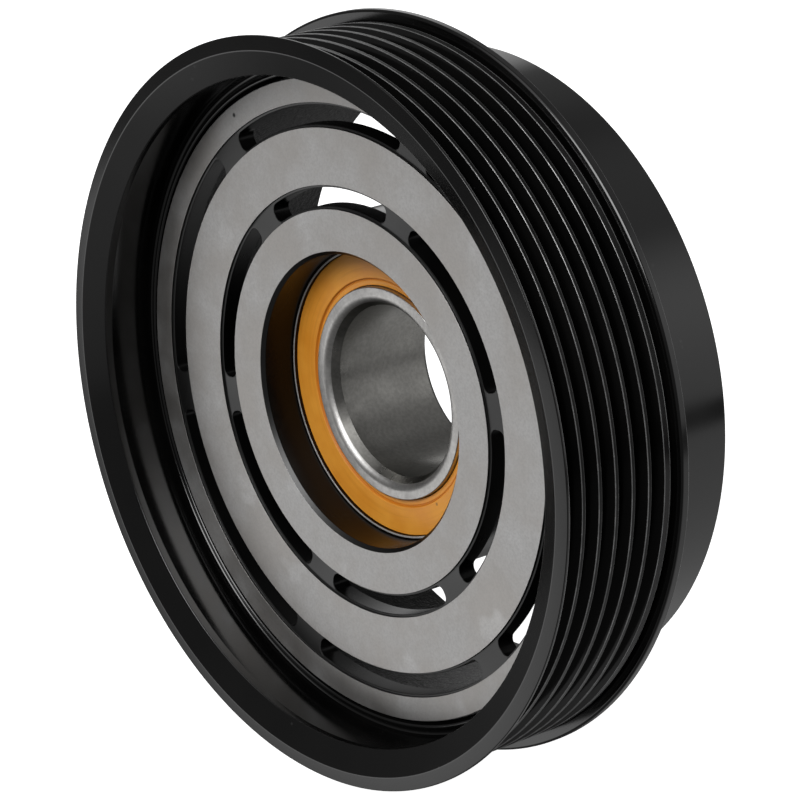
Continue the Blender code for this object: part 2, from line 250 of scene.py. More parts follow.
class Nodes:
    """Short names for the nodes that the materials are made of."""

    def __init__(self, name):
        self.material = bpy.data.materials.new(name)
        self.material.use_nodes = True
        self.tree = self.material.node_tree
        self.shader = self.tree.nodes["Principled BSDF"]
        self.place = self.add("ShaderNodeTexCoord").outputs["Object"]

    def add(self, kind, **settings):
        node = self.tree.nodes.new(kind)
        for key, value in settings.items():
            setattr(node, key, value)
        return node

    def put(self, socket, value):
        if isinstance(value, bpy.types.NodeSocket):
            self.tree.links.new(value, socket)
        else:
            socket.default_value = value

    def math(self, operation, first, second=0.0, third=0.0, clamp=False):
        node = self.add("ShaderNodeMath", operation=operation, use_clamp=clamp)
        for socket, value in zip(node.inputs, (first, second, third)):
            self.put(socket, value)
        return node.outputs[0]

    def noise(self, vector, scale, detail=3.0, roughness=0.55):
        node = self.add("ShaderNodeTexNoise")
        self.put(node.inputs["Vector"], vector)
        self.put(node.inputs["Scale"], scale)
        self.put(node.inputs["Detail"], detail)
        self.put(node.inputs["Roughness"], roughness)
        return node.outputs["Fac"]

    def cells(self, vector, scale):
        node = self.add("ShaderNodeTexVoronoi", feature="F1")
        self.put(node.inputs["Vector"], vector)
        self.put(node.inputs["Scale"], scale)
        return node.outputs["Distance"]

    def spread(self, value, low, high, to_low=0.0, to_high=1.0):
        """Map low..high smoothly to to_low..to_high and hold the ends."""
        node = self.add("ShaderNodeMapRange", interpolation_type="SMOOTHSTEP")
        for socket, number in zip(node.inputs, (value, low, high, to_low, to_high)):
            self.put(socket, number)
        return node.outputs[0]

    def blend(self, share, first, second):
        node = self.add("ShaderNodeMix", data_type="RGBA")
        self.put(node.inputs["Factor"], share)
        self.put(node.inputs["A"], first)
        self.put(node.inputs["B"], second)
        return node.outputs["Result"]

    def polar(self, across, around):
        """Noise coordinates that run round the Y axis: fine along the radius, slow round it."""
        split = self.add("ShaderNodeSeparateXYZ")
        self.put(split.inputs[0], self.place)
        x, y, z = split.outputs
        flat = self.add("ShaderNodeCombineXYZ")
        self.put(flat.inputs[0], x)
        self.put(flat.inputs[2], z)
        length = self.add("ShaderNodeVectorMath", operation="LENGTH")
        self.put(length.inputs[0], flat.outputs[0])
        unit = self.add("ShaderNodeVectorMath", operation="NORMALIZE")
        self.put(unit.inputs[0], flat.outputs[0])
        way = self.add("ShaderNodeSeparateXYZ")
        self.put(way.inputs[0], unit.outputs[0])
        joined = self.add("ShaderNodeCombineXYZ")
        along = self.math("ADD", length.outputs["Value"], y)
        self.put(joined.inputs[0], self.math("MULTIPLY", along, across))
        self.put(joined.inputs[1], self.math("MULTIPLY", way.outputs[0], around))
        self.put(joined.inputs[2], self.math("MULTIPLY", way.outputs[2], around))
        return joined.outputs[0]

    def radius(self):
        """Distance from the Y axis."""
        split = self.add("ShaderNodeSeparateXYZ")
        self.put(split.inputs[0], self.place)
        flat = self.add("ShaderNodeCombineXYZ")
        self.put(flat.inputs[0], split.outputs[0])
        self.put(flat.inputs[2], split.outputs[2])
        length = self.add("ShaderNodeVectorMath", operation="LENGTH")
        self.put(length.inputs[0], flat.outputs[0])
        return length.outputs["Value"]

    def bump(self, height, distance, strength=1.0, under=None):
        node = self.add("ShaderNodeBump")
        self.put(node.inputs["Height"], height)
        node.inputs["Distance"].default_value = distance
        node.inputs["Strength"].default_value = strength
        if under is not None:
            self.put(node.inputs["Normal"], under)
        return node.outputs["Normal"]

    def finish(self, **values):
        for key, value in values.items():
            if isinstance(value, tuple) and len(value) == 3:
                value = (*value, 1.0)
            self.put(self.shader.inputs[key.replace("_", " ")], value)
        return self.material


def grey(value, warmth=0.0):
    return (value * (1 + warmth), value, value * (1 - warmth), 1.0)


def paint_material(name, shine_low, shine_high, lumps, refraction=1.6):
    """Black stoved paint with a faint orange peel, thin dust and a little variation in gloss."""
    n = Nodes(name)
    cloud = n.noise(n.place, 35.0, 3.0)
    peel = n.noise(n.place, 1400.0, 2.0)
    dust = n.spread(n.cells(n.place, 260.0), 0.085, 0.05)
    dust = n.math("MULTIPLY", dust, n.spread(n.noise(n.place, 90.0, 1.0), 0.52, 0.66))
    swirl = n.noise(n.polar(9000.0, 3.0), 1.0, 2.0)
    color = n.blend(n.spread(cloud, 0.35, 0.65), grey(0.0015), grey(0.003, 0.04))
    color = n.blend(n.math("MULTIPLY", dust, 0.3), color, grey(0.08))
    gloss = n.spread(cloud, 0.3, 0.7, shine_low, shine_high)
    gloss = n.math("ADD", gloss, n.math("MULTIPLY", swirl, 0.04))
    normal = n.bump(peel, lumps)
    return n.finish(Base_Color=color, Roughness=gloss, Normal=normal, IOR=refraction)


def worn_material(name, cover):
    """Paint worn thin on a turned edge, with the steel showing through in fine broken lines."""
    n = Nodes(name)
    lines = n.noise(n.polar(6000.0, 6.0), 1.0, 3.0, 0.7)
    patches = n.noise(n.place, 420.0, 3.0, 0.6)
    share = n.math("MULTIPLY", n.math("ADD", lines, patches), 0.5)
    share = n.spread(share, 0.38, 0.62, cover * 0.5, cover * 1.4)
    return n.finish(
        Base_Color=n.blend(share, grey(0.003), grey(0.50)),
        Metallic=share,
        Roughness=n.spread(patches, 0.3, 0.7, 0.18, 0.3),
        Normal=n.bump(lines, 0.002 * MM),
        IOR=1.6,
    )


def forging_material(name):
    """Painted scale on the rough corner of the cavity."""
    n = Nodes(name)
    coarse = n.noise(n.place, 900.0, 4.0, 0.65)
    fine = n.noise(n.place, 2600.0, 3.0, 0.6)
    height = n.math("ADD", coarse, n.math("MULTIPLY", fine, 0.4))
    color = n.blend(n.spread(coarse, 0.35, 0.7), grey(0.001), grey(0.004))
    return n.finish(
        Base_Color=color,
        Roughness=n.spread(fine, 0.3, 0.7, 0.3, 0.5),
        Normal=n.bump(height, 0.25 * MM),
        Specular_IOR_Level=0.22,
    )


def friction_material(name, tone):
    """Bare turned and blasted steel with faint stains, smudges and small dark pits."""
    n = Nodes(name)
    stain = n.noise(n.place, 55.0, 4.0, 0.6)
    grain = n.noise(n.place, 2200.0, 3.0, 0.6)
    lines = n.noise(n.polar(5200.0, 5.0), 1.0, 3.0, 0.7)
    smudge = n.spread(n.noise(n.place, 120.0, 2.0, 0.5), 0.60, 0.72)
    pits = n.spread(n.cells(n.place, 85.0), 0.05, 0.025)
    pits = n.math("MULTIPLY", pits, n.spread(n.noise(n.place, 60.0, 1.0), 0.55, 0.6))
    color = n.blend(n.spread(stain, 0.36, 0.64), grey(0.50 * tone, 0.04), grey(0.66 * tone, 0.01))
    color = n.blend(n.math("MULTIPLY", smudge, 0.45), color, grey(0.76 * tone, 0.0))
    color = n.blend(n.spread(grain, 0.3, 0.75, 0.0, 0.3), color, grey(0.36, 0.03))
    color = n.blend(pits, color, grey(0.05))
    rough = n.spread(stain, 0.3, 0.7, 0.42, 0.52)
    rough = n.math("ADD", rough, n.math("MULTIPLY", lines, 0.06))
    height = n.math("ADD", n.math("MULTIPLY", grain, 0.6), lines)
    return n.finish(
        Base_Color=color,
        Metallic=1.0,
        Roughness=rough,
        Normal=n.bump(height, 0.009 * MM),
    )


def ground_material(name, color, rough_low, rough_high, pitted, metal=1.0):
    """Ground bearing steel: fine lines round the axis, a speckle and a few pits."""
    n = Nodes(name)
    lines = n.noise(n.polar(7000.0, 2.5), 1.0, 3.0, 0.7)
    speckle = n.noise(n.place, 1500.0, 2.0, 0.6)
    cloud = n.noise(n.place, 160.0, 3.0)
    pits = n.spread(n.cells(n.place, 230.0), 0.075, 0.035)
    pits = n.math("MULTIPLY", pits, n.spread(n.noise(n.place, 110.0, 1.0), 0.54, 0.6))
    darker = tuple(value * 0.82 for value in color)
    mixed = n.blend(n.spread(speckle, 0.3, 0.7), (*darker, 1.0), (*color, 1.0))
    mixed = n.blend(n.math("MULTIPLY", pits, pitted), mixed, grey(0.04))
    rough = n.spread(cloud, 0.3, 0.7, rough_low, rough_high)
    height = n.math("ADD", lines, n.math("MULTIPLY", speckle, 0.4))
    return n.finish(
        Base_Color=mixed,
        Metallic=metal,
        Roughness=rough,
        Normal=n.bump(height, 0.004 * MM),
    )


def rubber_material(name):
    """Orange seal rubber with fine moulded rings, a soft bloom, small nicks and painted shade
    darkening the band at the step.
    """
    n = Nodes(name)
    rings = n.noise(n.polar(2600.0, 1.5), 1.0, 2.0)
    cloud = n.noise(n.place, 130.0, 3.0)
    grain = n.noise(n.place, 2400.0, 2.0)
    nicks = n.spread(n.cells(n.place, 190.0), 0.07, 0.035)
    nicks = n.math("MULTIPLY", nicks, n.spread(n.noise(n.place, 140.0, 1.0), 0.55, 0.62))
    deep, pale = (0.80, 0.305, 0.028, 1.0), (0.90, 0.39, 0.046, 1.0)
    color = n.blend(n.spread(cloud, 0.3, 0.7), deep, pale)
    color = n.blend(n.spread(rings, 0.45, 0.75, 0.0, 0.35), color, (0.66, 0.235, 0.020, 1.0))
    # painted shade: a darker, deeper orange across the step between the seal's main face and its
    # recessed lip face
    inner = n.spread(n.radius(), SEAL_STEP_R[1] - 0.1 * MM, SEAL_STEP_R[1] + 0.12 * MM)
    outer = n.spread(n.radius(), SEAL_STEP_R[0] + 0.08 * MM, SEAL_STEP_R[0] - 0.14 * MM)
    color = n.blend(n.math("MULTIPLY", inner, outer), color, (0.60, 0.19, 0.01, 1.0))
    color = n.blend(n.math("MULTIPLY", nicks, 0.6), color, (0.16, 0.05, 0.01, 1.0))
    height = n.math("ADD", rings, n.math("MULTIPLY", grain, 0.5))
    return n.finish(
        Base_Color=color,
        Roughness=n.spread(cloud, 0.3, 0.7, 0.38, 0.48),
        Normal=n.bump(height, 0.012 * MM),
    )


def nylon_material(name):
    """Natural nylon of the ball cages, with a faint mould grain."""
    n = Nodes(name)
    cloud = n.noise(n.place, 300.0, 3.0)
    grain = n.noise(n.place, 3000.0, 2.0)
    color = n.blend(n.spread(cloud, 0.3, 0.7), (0.66, 0.58, 0.40, 1.0), (0.76, 0.70, 0.54, 1.0))
    return n.finish(
        Base_Color=color,
        Roughness=n.spread(grain, 0.3, 0.7, 0.4, 0.55),
        Normal=n.bump(grain, 0.01 * MM),
    )


PAINT = paint_material("black_paint", 0.09, 0.15, 0.002 * MM)
SATIN_PAINT = paint_material("satin_black_paint", 0.28, 0.38, 0.006 * MM)
HUB_PAINT = paint_material("thin_black_hub_paint", 0.22, 0.32, 0.003 * MM, 1.28)
WORN_EDGE = worn_material("worn_paint_edge", 0.5)
RUBBED_EDGE = worn_material("rubbed_paint_edge", 0.16)
CREST_PAINT = paint_material("matt_black_crest_paint", 0.25, 0.35, 0.003 * MM, 1.3)
FORGING = forging_material("painted_forging_skin")
FRICTION = friction_material("turned_friction_steel", 1.0)
# the outer friction land in a darker tone: painted shade from the recess and rim
SHADED_OUTER_FRICTION = friction_material("outer_friction_steel_painted_shade", 0.88)
RACE_STEEL = ground_material("ground_bearing_steel", (0.60, 0.59, 0.575), 0.36, 0.46, 1.0)
# pale, half-metal steel for a thin band of the outer ring's face: a painted highlight
PAINTED_HIGHLIGHT_STEEL = ground_material("painted_highlight_bearing_edge", (0.62, 0.61, 0.60), 0.4, 0.5, 0.5, 0.45)
# darker steel for the bore, its lead-in cone and rear rounding: painted shade inside the bore
SHADED_BORE_STEEL = ground_material("painted_shade_bore_steel", (0.27, 0.265, 0.25), 0.26, 0.38, 1.0)
# near-black steel on the seal seat and the outer ring's face: painted shade beside the hub wall
SHADED_SEAT_STEEL = ground_material("painted_shade_seat_steel", (0.03, 0.022, 0.018), 0.35, 0.5, 0.5)
BALL_STEEL = ground_material("polished_ball_steel", (0.72, 0.72, 0.72), 0.06, 0.12, 0.2)
SHEET_STEEL = ground_material("rolled_sheet_steel", (0.48, 0.48, 0.47), 0.34, 0.46, 0.5)
RUBBER = rubber_material("orange_seal_rubber")
NYLON = nylon_material("natural_nylon")

# ---------------------------------------------------------------------------------------------
# Pulley ring


def rib_outline():
    """The V grooves of a ribbed belt, front to rear."""
    half_top = RIB_TOP / 2
    half_floor = half_top - RIB_DEPTH * tan(RIB_HALF_ANGLE)
    floor_r = RIB_CREST_R - RIB_DEPTH
    points = []
    for index in range(RIB_COUNT):
        middle = FIRST_GROOVE_Y + index * RIB_PITCH
        points += [
            (RIB_CREST_R, middle - half_top, CREST_ROUND),
            (floor_r, middle - half_floor, GROOVE_ROUND),
            (floor_r, middle + half_floor, GROOVE_ROUND),
            (RIB_CREST_R, middle + half_top, CREST_ROUND),
        ]
    return points


def tool_marks():
    """Fine ridges that the turning tool left on the last rib's wide top."""
    step = (LAST_RIB_END_Y - LAST_RIB_Y) / (TOOL_MARKS + 1)
    points = []
    for index in range(1, TOOL_MARKS + 1):
        y = LAST_RIB_Y + index * step
        points.append((RIB_CREST_R, y - 0.25 * step, TOOL_MARK_ROUND))
        points.append((RIB_CREST_R - TOOL_MARK_DEPTH, y + 0.25 * step, TOOL_MARK_ROUND))
    return points


def wear_edges(mesh):
    """Mark the worn rounded edges of the ribs and flanges, and the ribs' matt tops."""
    for material in (WORN_EDGE, RUBBED_EDGE, CREST_PAINT):
        mesh.materials.append(material)
    worn, rubbed, matt = 1, 2, 3
    for face in mesh.polygons:
        r = hypot(face.center.x, face.center.z)
        y = face.center.y
        slope = face.normal.y
        off_crest = abs(r - RIB_CREST_R)
        if off_crest < 0.01 * MM and FIRST_GROOVE_Y < y < LAST_RIB_Y:
            face.material_index = matt
        if not 0.1 < abs(slope) < 0.93:
            continue
        tool_mark = LAST_RIB_Y + 0.2 * MM < y < LAST_RIB_END_Y - 0.15 * MM
        on_crest = off_crest < 0.13 * MM and FIRST_GROOVE_Y < y < LAST_RIB_END_Y + 0.1 * MM
        crest_edge = on_crest and not tool_mark
        front_edge = r > RIM_R - 0.25 * MM and RIM_FRONT_Y + 0.6 * MM < y < FIRST_GROOVE_Y
        rear_edge = r > RIM_R - 0.15 * MM and y > FLANGE_Y + 0.4 * MM
        if (crest_edge and slope < 0.0) or front_edge or rear_edge:
            face.material_index = worn
        elif crest_edge:
            face.material_index = rubbed


def make_pulley_ring():
    """Belt ring, front rim and rear flange as one turned outline, outside first."""
    outer_corner_y = RIM_FRONT_Y + BEVEL_RISE
    front = [
        (BEVEL_R, RIM_FRONT_Y, 0.5 * MM),
        (RIM_R, outer_corner_y, 0.2 * MM),
        (RIM_R, outer_corner_y + RIM_EDGE_WIDTH, 0.15 * MM),
    ]
    rear = [
        (RIB_CREST_R, LAST_RIB_END_Y, 0.1 * MM),
        (RELIEF_R, LAST_RIB_END_Y + 0.4 * MM, 0.2 * MM),
        (RELIEF_R, LAST_RIB_END_Y + 0.75 * MM, 0.3 * MM),
        (RIM_R - 0.35 * MM, FLANGE_Y - 0.75 * MM, 0.35 * MM),
        (RIM_R, FLANGE_Y - 0.45 * MM, 0.35 * MM),
        (RIM_R, FLANGE_Y + 0.7 * MM, 0.12 * MM),
        (RIM_R - 0.6 * MM, RIM_BACK_Y, 0.25 * MM),
        (SEAT_R + 0.3 * MM, RIM_BACK_Y, 0.1 * MM),
        (SEAT_R, RIM_BACK_Y - 0.3 * MM, 0.1 * MM),
        (SEAT_R, FRICTION_Y + 1.0 * MM, 0.1 * MM),
    ]
    lip_y = FRICTION_Y + LIP_ROUND
    floor_round = (RECESS_R - LIP_R - LIP_ROUND) / 2
    lip = arc(LIP_R, lip_y, LIP_ROUND, 180.0, 360.0, 10)
    floor = arc(RECESS_R - floor_round, lip_y, floor_round, 180.0, 0.0, 8)[1:]
    mouth = [
        (RECESS_R, FRICTION_Y - 1.2 * MM, 2.0 * MM),
        (MOUTH_R + 0.35 * MM, RIM_FRONT_Y + MOUTH_DROP + 1.6 * MM, 3.0 * MM),
        (MOUTH_R, RIM_FRONT_Y + MOUTH_DROP, 0.22 * MM),
    ]
    outline = front + rib_outline() + tool_marks() + rear
    outline += [(r, y, 0.0) for r, y in lip + floor]
    outline += mouth
    ring = turned("pulley_ring", rounded(outline, 0.2 * MM), PAINT)
    wear_edges(ring.data)
    shade(ring)
    return finish_piece(ring, "pulley", "rim_paint", "pulley_rim")


# ---------------------------------------------------------------------------------------------
# Rotor


def rotor_outline():
    """Friction disc with its ring grooves, the two tubes and the bearing's seat."""
    hub_r = BEARING_R + 0.1 * MM
    floor_y = FRICTION_Y + GROOVE_DEPTH
    shoulder_y = -BEARING_HALF - 0.03 * MM
    rolled_y = BEARING_HALF + 0.2 * MM
    face = [(HUB_WALL_R + HUB_CHAMFER, FRICTION_Y, 0.06 * MM)]
    for inner, outer, _bridge in RINGS:
        face += [
            (inner, FRICTION_Y, 0.05 * MM),
            (inner, floor_y, 0.1 * MM),
            (outer, floor_y, 0.1 * MM),
            (outer, FRICTION_Y, 0.05 * MM),
        ]
    outside = [
        (ROTOR_R, FRICTION_Y, 0.12 * MM),
        (ROTOR_R, TUBE_END_Y, 0.35 * MM),
        (TUBE_BORE_R, TUBE_END_Y, 0.35 * MM),
    ]
    cavity = [
        (TUBE_BORE_R, PLATE_BACK_Y, 1.0 * MM),
        (INNER_TUBE_R, PLATE_BACK_Y, 2.4 * MM),
    ]
    hub = [
        (INNER_TUBE_R, INNER_TUBE_END_Y, 0.35 * MM),
        (ROLLED_EDGE_R, INNER_TUBE_END_Y, 0.5 * MM),
        (ROLLED_EDGE_R, rolled_y, 0.05 * MM),
        (hub_r, rolled_y, 0.05 * MM),
        (hub_r, shoulder_y, 0.05 * MM),
        (HUB_WALL_R, shoulder_y, 0.05 * MM),
        (HUB_WALL_R, FRICTION_Y + HUB_CHAMFER, 0.1 * MM),
    ]
    return face + outside + cavity + hub


def slot_outline(inner, outer, start, end, corner):
    """Corners of an arc-shaped slot with rounded ends, as (x, z) points."""
    corner_steps = 8
    arc_steps = 40
    corner_sweep = corner / ((inner + outer) / 2)
    low, high = start + corner_sweep, end - corner_sweep

    def quarter(centre_r, centre_angle, quadrant):
        points = []
        for step in range(corner_steps + 1):
            turn = (quadrant + step / corner_steps) * pi / 2
            radius = centre_r + corner * cos(turn)
            points.append((radius, centre_angle + corner * sin(turn) / centre_r))
        return points

    def side(radius, first, last):
        span = last - first
        return [(radius, first + span * step / arc_steps) for step in range(1, arc_steps)]

    polar = quarter(outer - corner, high, 0)
    polar += quarter(inner + corner, high, 1)
    polar += side(inner, high, low)
    polar += quarter(inner + corner, low, 2)
    polar += quarter(outer - corner, low, 3)
    polar += side(outer, low, high)
    return [(radius * cos(angle), radius * sin(angle)) for radius, angle in polar]


def make_slot_cutter():
    """Every slot as a closed prism whose mouth flares, which leaves a rounded edge."""
    floor_y = FRICTION_Y + GROOVE_DEPTH
    levels = (                  # place along the axis and growth of the outline there
        (FRICTION_Y - 1.0 * MM, SLOT_EDGE),
        (floor_y, SLOT_EDGE),
        (floor_y + 0.3 * SLOT_EDGE, 0.3 * SLOT_EDGE),
        (floor_y + SLOT_EDGE, 0.0),
        (PLATE_BACK_Y + 1.0 * MM, 0.0),
    )
    form = bmesh.new()
    pitch = 2 * pi / SLOT_COUNT
    for inner, outer, bridge in RINGS:
        middle_r = (inner + outer) / 2
        for index in range(SLOT_COUNT):
            start = BRIDGE_ANGLE + index * pitch + bridge / 2 / middle_r
            end = start + pitch - bridge / middle_r
            loops = []
            for y, growth in levels:
                outline = slot_outline(
                    inner + LEDGE - growth,
                    outer - LEDGE + growth,
                    start - growth / middle_r,
                    end + growth / middle_r,
                    SLOT_CORNER,
                )
                loops.append([form.verts.new((x, y, z)) for x, z in outline])
            count = len(loops[0])
            for loop, following in zip(loops, loops[1:]):
                for corner in range(count):
                    after = (corner + 1) % count
                    form.faces.new((loop[corner], loop[after], following[after], following[corner]))
            form.faces.new(loops[0])
            form.faces.new(reversed(loops[-1]))
    bmesh.ops.recalc_face_normals(form, faces=form.faces)
    mesh = bpy.data.meshes.new("slot_cutter")
    form.to_mesh(mesh)
    form.free()
    cutter = bpy.data.objects.new("slot_cutter", mesh)
    bpy.context.scene.collection.objects.link(cutter)
    return cutter


def apply_cut(piece, cutter):
    knife = piece.modifiers.new("Slots", "BOOLEAN")
    knife.operation = "DIFFERENCE"
    knife.solver = "EXACT"
    knife.object = cutter
    bpy.context.view_layer.update()
    graph = bpy.context.evaluated_depsgraph_get()
    cut_mesh = bpy.data.meshes.new_from_object(piece.evaluated_get(graph))
    piece.modifiers.clear()
    piece.data = cut_mesh
    bpy.data.objects.remove(cutter, do_unlink=True)


def paint_rotor(mesh):
    """Bare steel on the friction lands with the outer land darker as painted shade, rough skin in
    the cavity's corner, paint elsewhere.
    """
    mesh.materials.clear()
    for material in (PAINT, FRICTION, SATIN_PAINT, FORGING, HUB_PAINT, SHADED_OUTER_FRICTION):
        mesh.materials.append(material)
    bare, satin, rough_skin, thin_paint, shaded_outer_bare = range(1, 6)
    slots_from_r, slots_to_r = RINGS[0][0], RINGS[1][1]
    for face in mesh.polygons:
        r = hypot(face.center.x, face.center.z)
        y = face.center.y
        forward = -face.normal.y
        if y < FRICTION_Y + 0.045 * MM and forward > 0.5:
            # the outer land gets the darker steel: painted shade
            face.material_index = shaded_outer_bare if r > slots_to_r - 0.1 * MM else bare
        elif r < HUB_WALL_R + 0.02 * MM and y < 0.0:
            face.material_index = thin_paint
        elif y < FRICTION_Y + GROOVE_DEPTH + 0.2 * MM:
            face.material_index = satin
        elif y < PLATE_BACK_Y and slots_from_r < r < slots_to_r:
            face.material_index = thin_paint
        elif INNER_TUBE_R - 0.2 * MM < r < TUBE_BORE_R + 0.2 * MM and y > FRICTION_Y + 1.0 * MM:
            near_corner = y < PLATE_BACK_Y + 3.0 * MM or r > TUBE_BORE_R - 0.5 * MM
            if y > PLATE_BACK_Y - 0.3 * MM and near_corner:
                face.material_index = rough_skin


def make_rotor():
    rotor = turned("rotor_disc", rounded(rotor_outline(), 0.1 * MM), PAINT)
    apply_cut(rotor, make_slot_cutter())
    paint_rotor(rotor.data)
    shade(rotor)
    return finish_piece(rotor, "pulley", "rotor_steel", "rotor")


# ---------------------------------------------------------------------------------------------
# Bearing


def race_arc(from_r, to_r, outer):
    """A race of the row at +ROW_Y, from the shoulder at from_r to the land at to_r."""
    start = degrees(acos((from_r - PITCH_R) / RACE_R))
    stop = degrees(acos((to_r - PITCH_R) / RACE_R))
    stop = -stop if outer else 360.0 - stop
    return [(r, y, 0.0) for r, y in arc(PITCH_R, ROW_Y, RACE_R, start, stop, 14)]


def paint_ring(mesh, material, from_r, to_r):
    """Give the faces between two radii another material."""
    mesh.materials.append(material)
    for face in mesh.polygons:
        if from_r < hypot(face.center.x, face.center.z) < to_r:
            face.material_index = len(mesh.materials) - 1


def make_bearing_rings():
    half = [
        (BEARING_R, BEARING_HALF - 0.3 * MM, 0.1 * MM),
        (BEARING_R - 0.3 * MM, BEARING_HALF, 0.1 * MM),
        (PAINTED_SHADE_FROM_R, BEARING_HALF),
        (SEAL_SEAT_R, BEARING_HALF, 0.06 * MM),
        (SEAL_SEAT_R, SEAL_SEAT_Y),
        (OUTER_SHOULDER_R, SEAL_SEAT_Y),
    ]
    half += race_arc(OUTER_SHOULDER_R, OUTER_LAND_R, True)
    outer = turned("outer_race_ring", rounded(half + mirrored(half), 0.1 * MM), RACE_STEEL)
    # the outer ring's face: painted shade over most of it, with a narrow painted highlight band at
    # its inner edge
    paint_ring(outer.data, SHADED_SEAT_STEEL, SEAL_SEAT_R - 0.01 * MM, BEARING_R - 0.05 * MM)
    paint_ring(outer.data, PAINTED_HIGHLIGHT_STEEL, SEAL_SEAT_R + 0.01 * MM, PAINTED_SHADE_FROM_R)
    shade(outer)
    finish_piece(outer, "pulley", "bearing_steel", "bearing_outer_ring")

    race = race_arc(INNER_SHOULDER_R, INNER_LAND_R, False)[::-1]
    lead_drop = LEAD_ROUND * (1 - sin(LEAD_ANGLE))
    lead_reach = LEAD_ROUND * cos(LEAD_ANGLE)
    cone_r = FACE_INNER_R - lead_reach
    cone_y = -BEARING_HALF + lead_drop
    cone_end_y = cone_y + (cone_r - BORE_R) / tan(LEAD_ANGLE)
    rounding = arc(
        FACE_INNER_R,
        -BEARING_HALF + LEAD_ROUND,
        LEAD_ROUND,
        180.0 + degrees(LEAD_ANGLE),
        270.0,
        8,
    )
    outline = [(BORE_R, cone_end_y, 0.1 * MM)]
    outline += [(r, y, 0.0) for r, y in rounding]
    outline.append((INNER_SHOULDER_R, -BEARING_HALF, 0.2 * MM))
    outline += mirrored(race) + race
    outline += [
        (INNER_SHOULDER_R, BEARING_HALF, 0.2 * MM),
        (BORE_R + REAR_ROUND, BEARING_HALF, 0.1 * MM),
    ]
    rear_end = arc(BORE_R + REAR_ROUND, BEARING_HALF - REAR_ROUND, REAR_ROUND, 90.0, 180.0, 10)
    outline += [(r, y, 0.0) for r, y in rear_end[1:]]
    inner = turned("inner_race_ring", rounded(outline, 0.1 * MM), RACE_STEEL)
    # the bore, lead-in cone and rear rounding get the darker steel: painted shade
    paint_ring(inner.data, SHADED_BORE_STEEL, 0.0, cone_r - 0.05 * MM)
    shade(inner)
    finish_piece(inner, "inner_ring", "bearing_steel", "bearing_inner_ring")


def make_seal(label, side):
    lip_r = SEAL_R[0] - 0.15 * MM
    outer_r = SEAL_SEAT_R - 0.03 * MM
    face_end_r, lip_start_r = SEAL_STEP_R
    back_y = core_high.y + 0.1 * MM
    lip_back_y = core_low.y + 0.1 * MM
    rear = [
        (outer_r, back_y),
        (outer_r, SEAL_FACE_Y, 0.2 * MM),
        (face_end_r, SEAL_FACE_Y, 0.12 * MM),
        (face_end_r - 0.2 * MM, LIP_FACE_Y - 0.12 * MM, 0.12 * MM),
        (lip_start_r, LIP_FACE_Y, 0.2 * MM),
        (lip_r, LIP_FACE_Y, 0.12 * MM),
        (lip_r, lip_back_y, 0.05 * MM),
        (CORE_R[0] - 0.4 * MM, lip_back_y, 0.05 * MM),
        (CORE_R[0] - 0.3 * MM, back_y, 0.05 * MM),
    ]
    outline = rear if side > 0 else mirrored(rear)
    seal = turned("rubber_seal_" + label, rounded(outline, 0.05 * MM), RUBBER)
    shade(seal)
    finish_piece(seal, "pulley", "seal_rubber", "seal_" + label)


def make_seal_core(label, side):
    inner_r, outer_r = CORE_R
    rear = [
        (outer_r, core_low.y),
        (outer_r, core_high.y),
        (inner_r, core_high.y),
        (inner_r, core_low.y),
    ]
    outline = rear if side > 0 else mirrored(rear)
    core = turned("seal_insert_" + label, rounded(outline, 0.08 * MM), SHEET_STEEL, 120)
    shade(core)
    finish_piece(core, "pulley", "insert_steel", "seal_core_" + label)


def ball_angles(side):
    """Places of one row's balls; the rear row stands half a pitch round from the front one."""
    offset = 0.0 if side < 0 else pi / BALL_COUNT
    return [offset + 2 * pi * index / BALL_COUNT for index in range(BALL_COUNT)]


def make_cage(label, side):
    inner_r, outer_r = CAGE_R
    rear = [
        (outer_r, cage_low.y),
        (outer_r, cage_high.y),
        (inner_r, cage_high.y),
        (inner_r, cage_low.y),
    ]
    outline = rear if side > 0 else mirrored(rear)
    cage = turned("ball_cage_" + label, rounded(outline, 0.15 * MM), NYLON, 120)
    form = bmesh.new()
    for angle in ball_angles(side):
        outward = Vector((cos(angle), 0.0, sin(angle)))
        turn = Vector((0.0, 0.0, 1.0)).rotation_difference(outward).to_matrix().to_4x4()
        place = outward * PITCH_R + Vector((0.0, side * ROW_Y, 0.0))
        bmesh.ops.create_cone(
            form,
            cap_ends=True,
            segments=36,
            radius1=BALL_R + 0.2 * MM,
            radius2=BALL_R + 0.2 * MM,
            depth=2 * BALL_R,
            matrix=Matrix.Translation(place) @ turn,
        )
    mesh = bpy.data.meshes.new("pocket_cutter")
    form.to_mesh(mesh)
    form.free()
    cutter = bpy.data.objects.new("pocket_cutter", mesh)
    bpy.context.scene.collection.objects.link(cutter)
    apply_cut(cage, cutter)
    shade(cage)
    finish_piece(cage, "cage_" + label, "cage_nylon", "cage_" + label)


def make_balls(label, side):
    form = bmesh.new()
    bmesh.ops.create_icosphere(form, subdivisions=4, radius=BALL_R)
    mesh = bpy.data.meshes.new("ball_" + label)
    form.to_mesh(mesh)
    form.free()
    mesh.shade_smooth()
    mesh.materials.append(BALL_STEEL)
    for index, angle in enumerate(ball_angles(side)):
        number = "%02d" % (index + 1)
        ball = bpy.data.objects.new("bearing_ball_%s_%s" % (label, number), mesh)
        ball.location = (PITCH_R * cos(angle), side * ROW_Y, PITCH_R * sin(angle))
        bpy.context.scene.collection.objects.link(ball)
        finish_piece(ball, "cage_" + label, "ball_steel", "ball_%s_%s" % (label, number))


# ---------------------------------------------------------------------------------------------
# Studio

